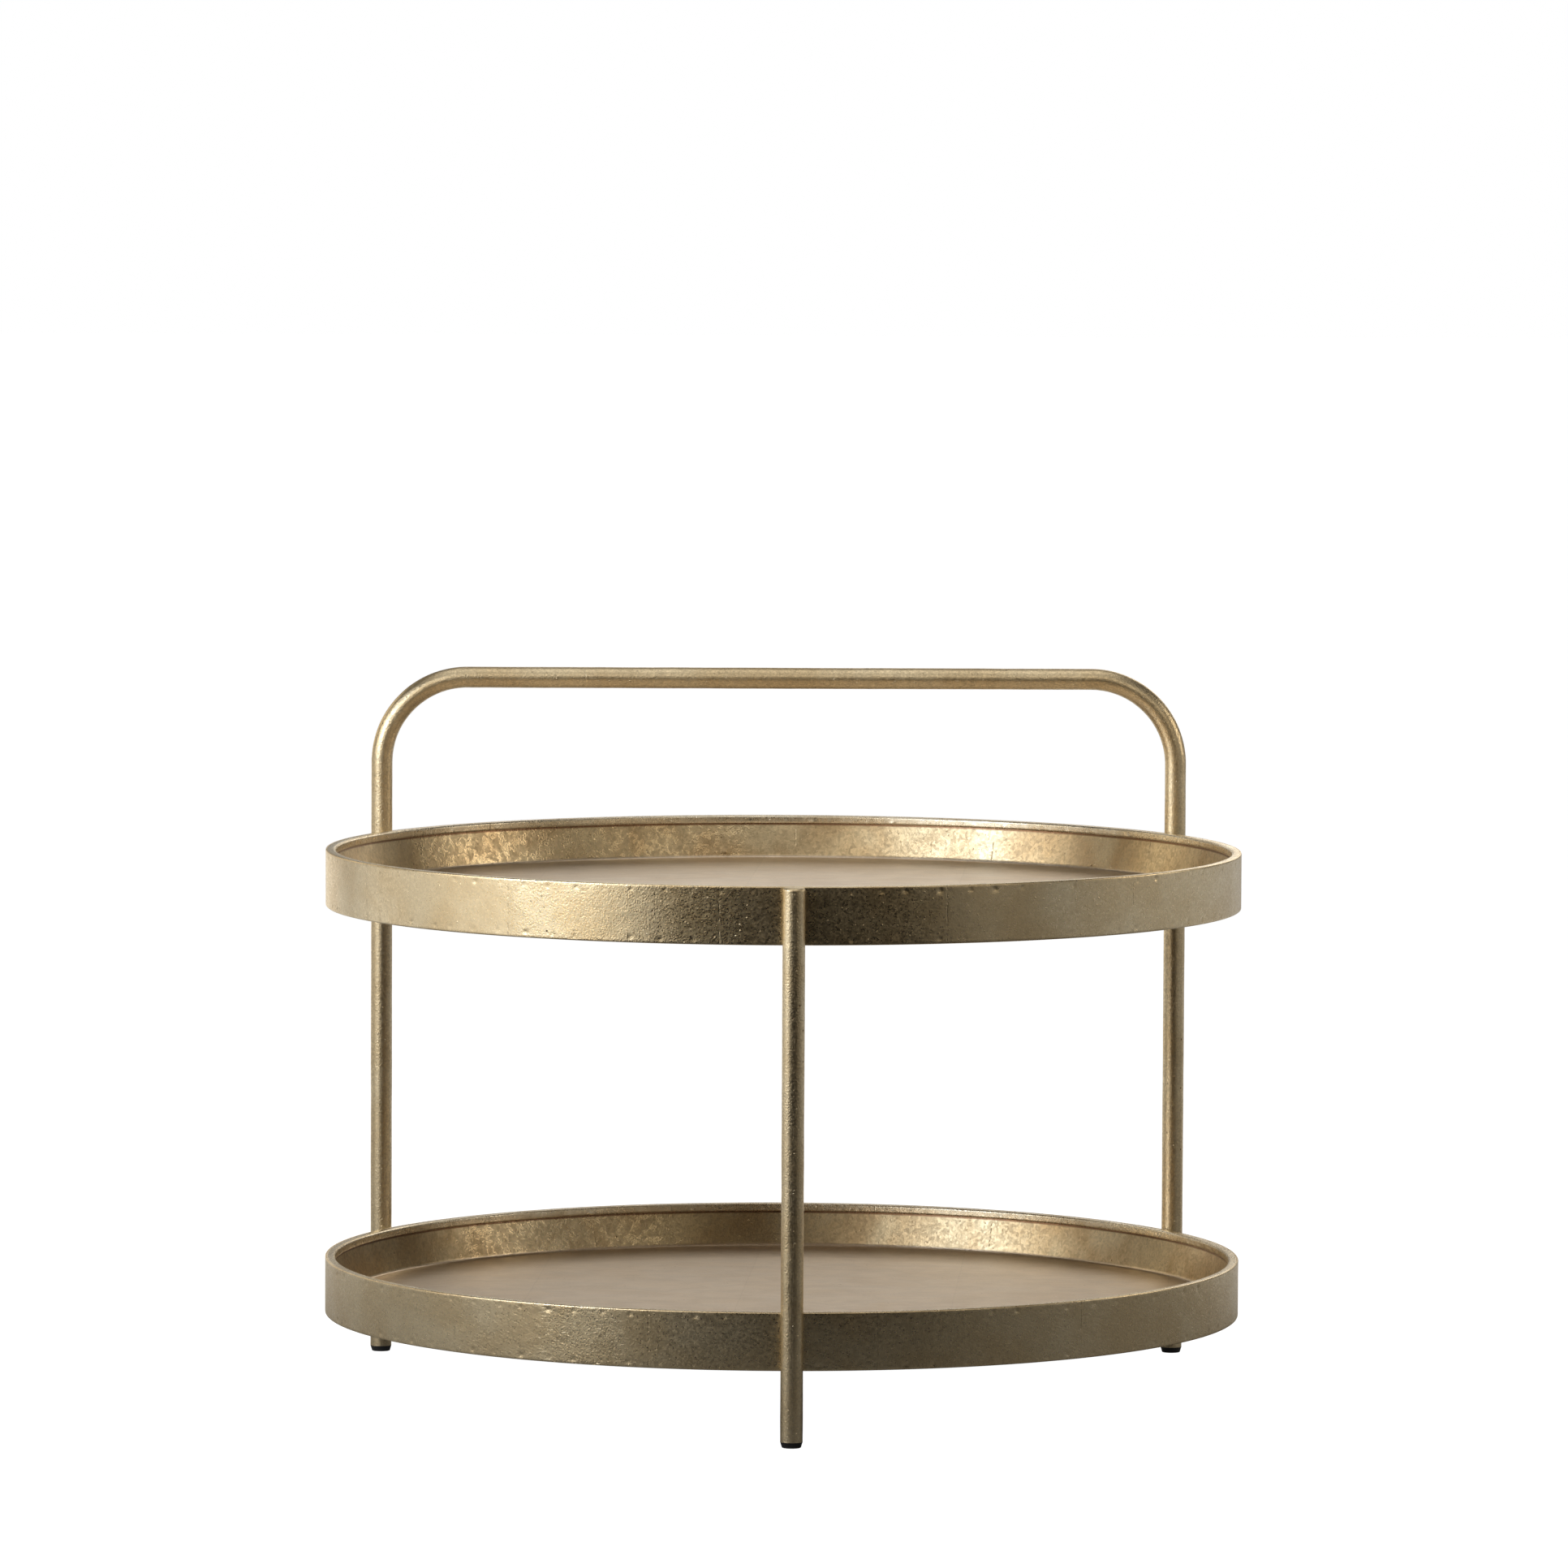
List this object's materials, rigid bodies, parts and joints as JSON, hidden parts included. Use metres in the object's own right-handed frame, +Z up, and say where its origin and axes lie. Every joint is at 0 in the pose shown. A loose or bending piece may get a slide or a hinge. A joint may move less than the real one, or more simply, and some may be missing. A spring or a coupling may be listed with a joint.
{
  "type": "two-tier round tray table",
  "caption": "Low round table: shallow leafed metal trays one above the other, held by slim tube legs, with a tube handle arching over the rear.",
  "frame": {"origin": "on the floor, at the centre of the table's bounding box; the trays' common axis is 8 mm behind it", "axes": "+Z up, +Y from the single front leg towards the handle, +X to the right seen from the front"},
  "size_m": [0.6499, 0.6658, 0.5],
  "materials": {
    "leafed_tube": "gold leaf, burnished, lightly pitted",
    "leafed_band": "gold leaf, satin, crinkled",
    "leafed_rim": "gold leaf, satin",
    "leafed_pan": "gold leaf, matte floor and mottled wall",
    "gilt_underside": "satin gold paint",
    "black_plastic": "moulded matte"
  },
  "bodies": {
    "root": {"handle_frame": "leafed_tube", "front_leg": "leafed_tube", "front_leg_cap": "leafed_tube", "front_foot": "black_plastic", "rear_right_foot": "black_plastic", "rear_left_foot": "black_plastic", "upper_band": "leafed_band", "upper_rim_bar": "leafed_rim", "upper_pan": "leafed_pan", "upper_ledge": "gilt_underside", "upper_brace": "gilt_underside", "upper_weld_beads": "leafed_tube", "lower_band": "leafed_band", "lower_rim_bar": "leafed_rim", "lower_pan": "leafed_pan", "lower_ledge": "gilt_underside", "lower_brace": "gilt_underside", "lower_weld_beads": "leafed_tube"}
  },
  "joints": []
}
